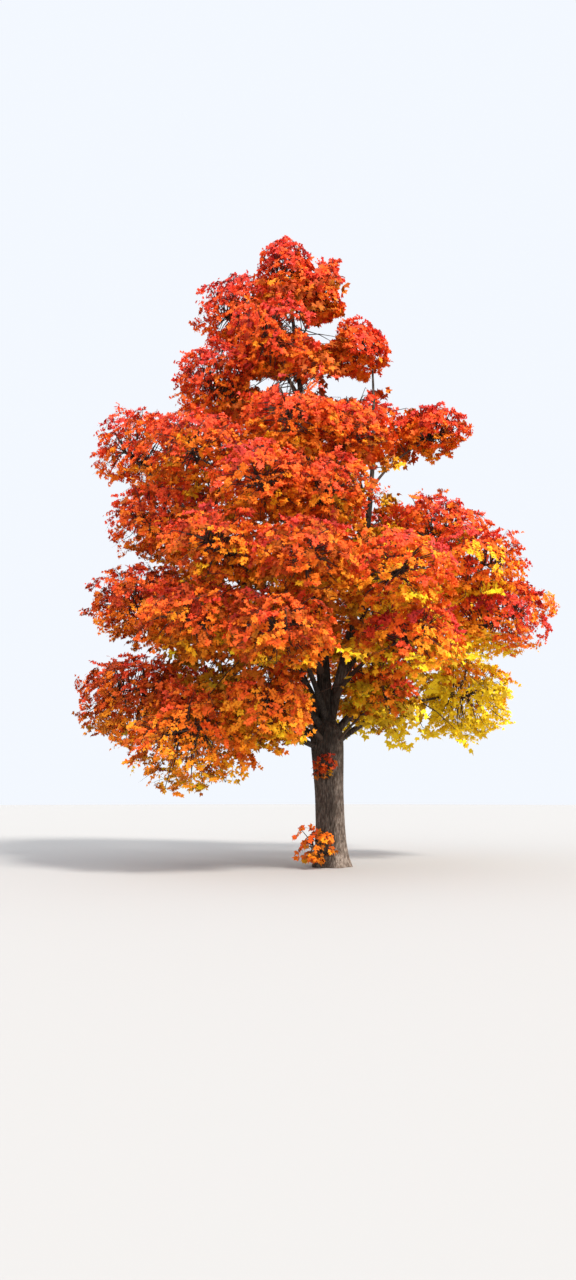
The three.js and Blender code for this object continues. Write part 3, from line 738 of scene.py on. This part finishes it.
# A branch from the limb to each spray, a curve bent a little upwards, that runs on as the spray's axis
def growBranches(mass, sprays):
    start, root = curvePoint(mass["path"], sprays["start"]), sprays["root"]
    gap = np.linalg.norm(root - start, axis=1, keepdims=True)
    bend = (start + root) / 2 + spray["branchArch"] * upward * gap
    share = np.linspace(0, 1, spray["points"])[None]
    branch = curvePoint([points[:, None] for points in (start, bend, root)], share[:, :-1])
    direction, long = sprays["direction"][:, None], sprays["length"][:, None, None]
    axis = sagging(root[:, None], direction, long, share[..., None])
    centres = np.concatenate([branch, axis], axis=1)
    rings = centres.shape[1] - 1
    radii = np.linspace(spray["rootRadius"], spray["tipRadius"], rings)[None].repeat(len(root), 0)
    return tubes(centres, radii, spray["sides"])


# Shoots along each spray's axis in opposite pairs, with one at its end. Gives their tubes, their feet,
# headings and lengths with a row for each spray, their numbers, and which of them have grown.
def growShoots(mass, sprays):
    count, seed = mass.get("shoots", shoot["count"]), mass["seed"]
    direction, normal = sprays["direction"][:, None], sprays["normal"][:, None]
    long = sprays["length"][:, None, None]
    order = np.arange(count)
    further = shoot["over"] * (order // 2) / max((count - 1) / 2, 1)
    place = np.minimum(shoot["from"] + further, shoot["last"])
    hand = np.where(order % 2 == 0, 1, -1) * np.where(order == count - 1, 0, 1)
    key = sprays["index"][:, None] * draws["perSpray"] + order[None]
    veer, rise, longer = [
        noise(key, seed + draws[name])[..., None] - 0.5
        for name in ("shootAngle", "shootLift", "shootLength")
    ]
    foot = sagging(sprays["root"][:, None], direction, long, place[None, :, None])
    angle = math.radians(shoot["angle"]) * hand[None, :, None] * (1 + shoot["unevenness"] * veer)
    across = np.cross(sprays["normal"], sprays["direction"])[:, None]
    heading = np.cos(angle) * direction + np.sin(angle) * across
    heading = unit(heading + shoot["lift"] * rise * normal - shoot["fall"] * upward)
    lengths = shoot["length"] * (1 - shoot["taper"] * place)
    length = long * lengths[None, :, None] * (1 + shoot["unevenness"] * longer)
    line = np.stack([foot, foot + heading * length], axis=2).reshape(-1, 2, 3)
    end = line[:, 1]
    grown = (sprays["index"] >= inner["firstIndex"]).repeat(count)
    grown = grown | (outness(end, mass) < reachShare(end, mass) + shoot["pastMass"])
    grown &= (line[:, :, 2].min(1) > shoot["clearOfGround"]) & inReach(end) & ~inWindow(end)
    shootTubes = tubes(line[grown], np.full((grown.sum(), 1), shoot["radius"]), shoot["sides"])
    return shootTubes, foot, heading, length, key, grown


barely = 1e-6  # keeps the way out from being zero long on the foot's upright


# Leaves in pairs along each shoot with one at its end. Each hangs from its stalk and faces up, outwards
# and away from a point under its spray, unevenly. Gives arrays with a row for each leaf.
def growLeaves(mass, sprays, shoots, limbPoints, limbRadii):
    shootFoot, heading, shootLength, shootKey, grown = shoots
    pairs = mass.get("pairs", shoot["pairs"])
    perShoot = 2 * pairs + 1
    place = np.arange(perShoot)
    t = np.where(place == perShoot - 1, 1.0, leaf["from"] + leaf["over"] * (place // 2) / max(pairs, 1))
    hand = np.where(place % 2 == 0, 1, -1) * np.where(place == perShoot - 1, 0, 1)
    key = shootKey[..., None] * draws["perShoot"] + place
    wobble = [noise(key, mass["seed"] + draw)[..., None] - 0.5 for draw in draws["leaf"]]
    along, normal = heading[:, :, None], sprays["normal"][:, None, None]
    node = shootFoot[:, :, None] + along * shootLength[:, :, None] * t[None, None, :, None]
    beside = np.cross(normal, along)
    angle = math.radians(leaf["angle"]) * hand[None, None, :, None] * (1 + leaf["unevenness"] * wobble[0])
    stalk = unit(np.cos(angle) * along + np.sin(angle) * beside + leaf["unevenness"] * wobble[1] * normal)

    isInner = sprays["index"] >= inner["firstIndex"]
    larger = np.where(sprays["coarse"], leaf["coarser"], mass.get("leafSize", 1))
    larger = np.where(isInner, leaf["innerCoarser"], larger)
    size = leaf["length"] * (1 + leaf["lengthSpread"] * wobble[2]) * larger[:, None, None, None]
    every = np.where(isInner, leaf["innerEvery"], np.where(sprays["coarse"], leaf["coarseEvery"], 1))
    wanted = np.broadcast_to((place // 2) % every[:, None, None] == 0, key.shape)

    tip = unit(stalk - leaf["droop"] * (leaf["droopMean"] + wobble[3]) * upward)
    tilt = np.concatenate([wobble[1], wobble[3], wobble[0]], axis=-1) * 2 * leaf["tilt"]
    ahead = leaf["domeAhead"] * sprays["direction"] - leaf["domeBelow"] * sprays["normal"]
    domeMiddle = sprays["root"] + sprays["length"][:, None] * ahead
    dome = unit(node - domeMiddle[:, None, None])
    crownOut = unit(node * [1, 1, 0] + barely)
    face = leaf["facesUp"] * upward + leaf["dome"] * dome + leaf["facesOut"] * crownOut + tilt
    face = unit(face - dot(face, tip) * tip)

    def forEachLeaf(values):
        return np.broadcast_to(values, key.shape).reshape(-1)

    leaves = {
        "foot": (node + stalk * leaf["stalk"]).reshape(-1, 3), "tip": tip.reshape(-1, 3),
        "face": face.reshape(-1, 3), "size": size.reshape(-1, 1),
        "spray": forEachLeaf(sprays["index"][:, None, None]), "shoot": forEachLeaf(shootKey[:, :, None]),
        "up": forEachLeaf(sprays["up"][:, None, None]), "isInner": forEachLeaf(isInner[:, None, None]),
    }
    centre = leaves["foot"] + leaves["tip"] * leaves["size"] * 0.5
    reach = np.linalg.norm(centre - centre.mean(0), axis=1).max() + leaf["limbTest"]
    near = np.linalg.norm(limbPoints - centre.mean(0), axis=1) < reach
    gap = np.linalg.norm(centre[:, None] - limbPoints[near], axis=-1) - limbRadii[near]
    kept = grown.repeat(perShoot) & wanted.reshape(-1) & inReach(centre)
    kept &= (gap.min(1) > leaf["clearOfLimb"]) & (leaves["foot"][:, 2] > spray["clearOfGround"])
    return {name: values[kept] for name, values in leaves.items()}


# Grows one mass: its stem, a branch to each spray, shoots along the spray and leaves along the shoots.
def growMass(mass, masses, limbPoints, limbRadii):
    share = np.linspace(mass["entry"] if mass.get("bough") else 0, 1, stem["rings"] + 1)
    radii = limbRadius(mass, share)[None, :-1]
    stemTubes = tubes(curvePoint(mass["path"], share)[None], radii, stem["sides"])
    outer, within = placeSprays(mass, masses), placeInnerSprays(mass, masses)
    sprays = {name: np.concatenate([outer[name], within[name]]) for name in outer}
    shootTubes, *shoots = growShoots(mass, sprays)
    leaves = growLeaves(mass, sprays, shoots, limbPoints, limbRadii)
    return [stemTubes, growBranches(mass, sprays), shootTubes], leaves


# Each leaf's outline, set out along its tip, across it and out of its plane, and its triangles
def leafMesh(leaves):
    half = np.array(leaf["half"])
    outline = np.concatenate([half, [leaf["tip"]], half[::-1] * [-1, 1, 1]])
    across = np.cross(leaves["tip"], leaves["face"])
    frameOf = np.stack([across, leaves["tip"], leaves["face"]], axis=1) * leaves["size"][:, :, None]
    blade = leaves["foot"][:, None] + outline @ frameOf
    faces = np.array(leaf["faces"]) + np.arange(len(blade))[:, None, None] * len(outline)
    return blade.reshape(-1, 3), faces.reshape(-1, 3)


# The tints from the shaded and lowest leaves to the top of the crown
tints = {
    "yellow": (0.98, 0.7, 0.02),
    "gold": (0.96, 0.48, 0.014),
    "amber": (0.93, 0.3, 0.012),
    "orange": (0.92, 0.2, 0.012),
    "flame": (0.9, 0.125, 0.016),
    "scarlet": (0.88, 0.085, 0.026),
    "rose": (0.8, 0.062, 0.042),
    "crimson": (0.56, 0.04, 0.034),
}

# How red a leaf is, from 0 at yellow to 1 at crimson
redness = {
    "least": 0.36, "high": 0.25,  # it grows with height, from the skirt to the top
    "up": 0.19, "upOnRight": 0.15,  # towards the top of its mass
    "outwards": 0.08, "outFrom": 0.6, "outOver": 3,  # and towards the crown's skin
    "spray": 0.24, "sprayOnRight": 0.3, "shoot": 0.2,  # and varies by spray and by shoot
    "innerOnRight": -0.28,  # less on the sprays inside the crown
    "crownFoot": 2.0, "crownHeight": 11.5,  # the heights over which it grows start here and span this
    "rightFrom": (0.0, 1.6), "rightBelow": (6.0, 9.0),  # where the golden lower right of the crown fades
}

# A leaf in painted shade takes a copy of its tint this much darker, standing in for the crown's shade on
# itself. The share of such leaves falls with height, from the skirt to the top, and is greatest on the
# sprays inside the crown.
deep = {
    "shadeScale": (0.5, 0.42, 0.4),
    "low": 0.48, "high": 0.1, "heights": (0.1, 0.7),  # shares of the crown's height between which it falls
    "inside": 0.7, "lessOnRight": 0.6,
}

# The finish of leaves and twigs
plain = {"leafRoughness": 0.65, "twig": (0.075, 0.05, 0.038), "twigRoughness": 0.85, "specular": 0.15}


# The number of each leaf's tint: its redness, summed from its height, place and draws of noise, times the
# number of tints. The darker copies for leaves in painted shade follow the others in the same order.
def leafTint(mass, leaves):
    x, z = leaves["foot"][:, 0], leaves["foot"][:, 2]
    high = np.clip((z - redness["crownFoot"]) / redness["crownHeight"], 0, 1)
    fromMass = leaves["foot"][:, :2] - mass["middle"][:2] * redness["outFrom"]
    outwards = np.linalg.norm(fromMass, axis=1) / redness["outOver"]
    bySpray = noise(leaves["spray"], mass["seed"] + draws["sprayTint"]) - 0.5
    byShoot = noise(leaves["shoot"], mass["seed"] + draws["shootTint"]) - 0.5
    right = smoothStep(x, *redness["rightFrom"]) * (1 - smoothStep(z, *redness["rightBelow"]))
    red = redness["least"] + redness["high"] * high
    red = red + (redness["up"] + redness["upOnRight"] * right) * leaves["up"]
    red = red + redness["outwards"] * outwards
    red = red + (redness["spray"] + redness["sprayOnRight"] * right) * bySpray
    red = red + redness["shoot"] * byShoot
    red = red + redness["innerOnRight"] * right * leaves["isInner"]
    tint = np.clip(((red + mass.get("redder", 0)) * len(tints)).astype(int), 0, len(tints) - 1)
    # painted shade: the share of leaves in darker copies of their tints, greatest low down and inside the
    # crown, less on the right
    skin = np.interp(high, deep["heights"], [deep["low"], deep["high"]]) * (1 - right)
    within = deep["inside"] * (1 - deep["lessOnRight"] * right)
    share = mass.get("deep", np.where(leaves["isInner"], within, skin))
    isPaintedShade = noise(leaves["shoot"], mass["seed"] + draws["deepTint"]) < share
    return tint + len(tints) * isPaintedShade


def plainMaterial(name, colour, roughness):
    material = bpy.data.materials.new(name)
    material.use_nodes = True
    shader = material.node_tree.nodes["Principled BSDF"]
    shader.inputs["Base Color"].default_value = (*colour, 1)
    shader.inputs["Roughness"].default_value = roughness
    shader.inputs["Specular IOR Level"].default_value = plain["specular"]
    return material


# The pieces that the foliage is joined into: how their masses' names start, and their slot
foliage = {
    "foliage_skirt": (("skirt", "inner", "foot", "trunk"), "leaf_gold"),
    "foliage_low": (("low",), "leaf_orange"),
    "foliage_middle": (("mid",), "leaf_orange"),
    "foliage_high": (("high",), "leaf_red"),
    "foliage_shoulder": (("shoulder",), "leaf_red"),
    "foliage_upper": (("upper",), "leaf_crimson"),
    "foliage_top": (("top", "crest"), "leaf_crimson"),
}

trunkChecks = {"top": 13, "count": 260}  # points on the trunk's axis that leaves keep clear of


def buildTree():
    barkLook = barkMaterial()
    twigLook = plainMaterial("twig_bark", plain["twig"], plain["twigRoughness"])
    looks = [("leaf_" + name, colour) for name, colour in tints.items()]
    # darker copies of each tint, for leaves in painted shade
    looks += [("deep_leaf_" + name, np.multiply(colour, deep["shadeScale"])) for name, colour in tints.items()]
    leafLooks = [plainMaterial(name, colour, plain["leafRoughness"]) for name, colour in looks]
    masses = settleMasses()
    print("trunk and boughs")
    buildTrunk(barkLook)
    heights = np.linspace(0, trunkChecks["top"], trunkChecks["count"])
    limbPoints, limbRadii = [trunkAxis(heights)], [trunkRadius(heights)]
    for mass in masses:
        if mass.get("bough"):
            buildBough(mass, barkLook)
        limbPoints.append(mass["limb"])
        limbRadii.append(limbRadius(mass, np.linspace(0, 1, curveSteps["limb"])))
    limbPoints, limbRadii = np.concatenate(limbPoints), np.concatenate(limbRadii)
    for name, (tiers, slotName) in foliage.items():
        members = [mass for mass in masses if mass["name"].split("_")[0] in tiers]
        nodes = ["leaves_" + mass["name"] for mass in members]
        wood, blades, slots = [], [], []
        for mass in members:
            tubesOfMass, leaves = growMass(mass, masses, limbPoints, limbRadii)
            wood += tubesOfMass
            blades.append(leafMesh(leaves))
            slots.append(leafTint(mass, leaves).repeat(len(leaf["faces"])))
        addPiece(name, blades, leafLooks, False, nodes, np.concatenate(slots))
        addPiece(name.replace("foliage", "twigs"), wood, [twigLook], True, nodes)
        leafCount, twigCount = [sum(len(faces) for _, faces in parts) for parts in (blades, wood)]
        print(name, leafCount, "leaf triangles", twigCount, "twig")


# Suns by their strength, and in degrees the spread of their light, their tilt from overhead and their turn
suns = {
    "soft_key": {"strength": 3.5, "spread": 12, "tilt": 46, "turn": 38, "colour": (1.0, 0.96, 0.9)},
    "soft_fill": {"strength": 0.7, "spread": 80, "tilt": 68, "turn": -35, "colour": (1.0, 1.0, 1.0)},
    "soft_side": {"strength": 1.0, "spread": 30, "tilt": 76, "turn": 78, "colour": (1.0, 0.94, 0.86)},
}

stage = {
    "radius": 90, "sides": 96, "drop": 0.002, "floor": (0.5, 0.49, 0.48), "floorRoughness": 0.9,
    "sky": (0.9, 0.94, 1.0), "skyStrength": 1.0,
}


def buildStage():
    floor = bpy.data.meshes.new("floor")
    sides = stage["sides"]
    turn = 2 * np.pi * np.arange(sides) / sides
    across, back = stage["radius"] * np.cos(turn), stage["radius"] * np.sin(turn)
    points = np.stack([across, back, np.full(sides, -stage["drop"])], axis=-1)
    floor.from_pydata(points.tolist(), [], [list(range(sides))])
    floor.materials.append(plainMaterial("pale_floor", stage["floor"], stage["floorRoughness"]))
    ground = bpy.data.objects.new("floor", floor)
    bpy.context.scene.collection.objects.link(ground)

    world = bpy.data.worlds.new("pale_sky")
    world.use_nodes = True
    sky = world.node_tree.nodes["Background"]
    sky.inputs["Color"].default_value = (*stage["sky"], 1)
    sky.inputs["Strength"].default_value = stage["skyStrength"]
    bpy.context.scene.world = world

    for name, sun in suns.items():
        light = bpy.data.lights.new(name, "SUN")
        light.energy = sun["strength"]
        light.angle = math.radians(sun["spread"])
        light.color = sun["colour"]
        lamp = bpy.data.objects.new(name, light)
        lamp.rotation_euler = (math.radians(sun["tilt"]), 0, math.radians(sun["turn"]))
        bpy.context.scene.collection.objects.link(lamp)

    camera = bpy.data.cameras.new("camera")
    camera.sensor_width = view["sensor"]
    camera.lens = view["lens"]
    eye = bpy.data.objects.new("camera", camera)
    eye.location = view["place"]
    eye.rotation_euler = (math.radians(90 + view["pitch"]), 0, 0)
    bpy.context.scene.collection.objects.link(eye)
    bpy.context.scene.camera = eye
    bpy.context.scene.view_settings.view_transform = "Standard"


buildTree()
buildStage()
